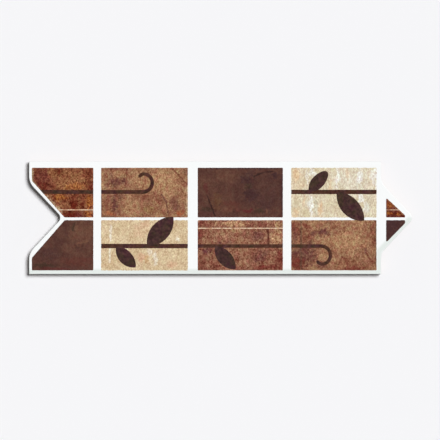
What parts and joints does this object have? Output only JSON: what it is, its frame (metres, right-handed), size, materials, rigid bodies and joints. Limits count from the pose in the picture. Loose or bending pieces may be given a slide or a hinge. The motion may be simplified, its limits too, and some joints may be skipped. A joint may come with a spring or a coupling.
{
  "type": "border tile",
  "caption": "Flat glazed ceramic border tile in an arrow outline: a pointed tongue enters the next tile's notch, with stone-look panels and leaf sprigs printed on white.",
  "frame": {"origin": "centre of the back plane, under the middle of the whole length from notch side to tongue tip", "axes": "+X along the border towards the tongue tip, +Y across the border, +Z out of the glazed face"},
  "size_m": [0.272, 0.08, 0.0075],
  "materials": {
    "white_glaze": "gloss white glaze on the face and its edge, bare pale fired body on the sides and the back",
    "rust_print": "satin ceramic print, rust-brown stone look",
    "tan_print": "satin ceramic print, tan and red-brown stone look",
    "chocolate_print": "satin ceramic print, dark chocolate stone look",
    "beige_print": "satin ceramic print, beige travertine look",
    "leaf_print": "satin dark brown enamel of the leaf sprigs",
    "cream_print": "satin cream enamel of the thin lines"
  },
  "bodies": {
    "root": {"border_tile": "white_glaze"}
  },
  "joints": []
}
